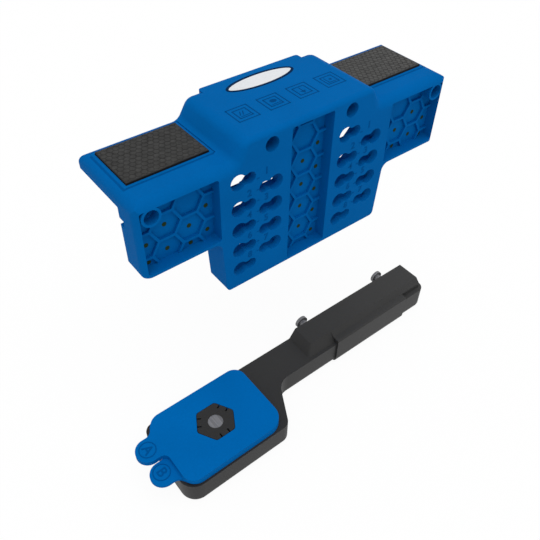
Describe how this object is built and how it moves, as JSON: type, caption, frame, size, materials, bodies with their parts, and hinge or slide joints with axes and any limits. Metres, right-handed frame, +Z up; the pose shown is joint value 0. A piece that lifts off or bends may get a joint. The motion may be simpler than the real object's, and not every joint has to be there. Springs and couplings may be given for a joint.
{
  "type": "cabinet door mounting jig",
  "caption": "Cabinet door mounting jig: a slotted body with grip pads that sits over a face-frame rail, and a hook-in arm with a hub and lift-off spacer plates.",
  "frame": {"origin": "centre of the shelf's flat underside, which rests on the cabinet rail", "axes": "+X along the body's length, +Y from the slotted front to the back, +Z up"},
  "size_m": [0.2194, 0.1003, 0.1648],
  "materials": {
    "blue_plastic": "fine satin moulded surface",
    "grip": "matt with a small raised texture",
    "black_plastic": "matt moulded surface",
    "steel": "dull brushed"
  },
  "bodies": {
    "jig": {"jig_body": "blue_plastic", "grip_pad_left": "grip", "grip_pad_right": "grip", "arm": "black_plastic", "hub_disc": "steel", "locating_pin_left": "steel", "locating_pin_right": "steel"},
    "spacer_b": {"spacer_plate_b": "blue_plastic"},
    "spacer_a": {"spacer_plate_a": "blue_plastic"}
  },
  "joints": [
    {"name": "spacer_b_lift", "type": "slide", "parent": "jig", "child": "spacer_b", "axis": [0, 0, 1], "range_m": [0, 0.012]},
    {"name": "spacer_a_lift", "type": "slide", "parent": "spacer_b", "child": "spacer_a", "axis": [0, 0, 1], "range_m": [0, 0.012]}
  ]
}
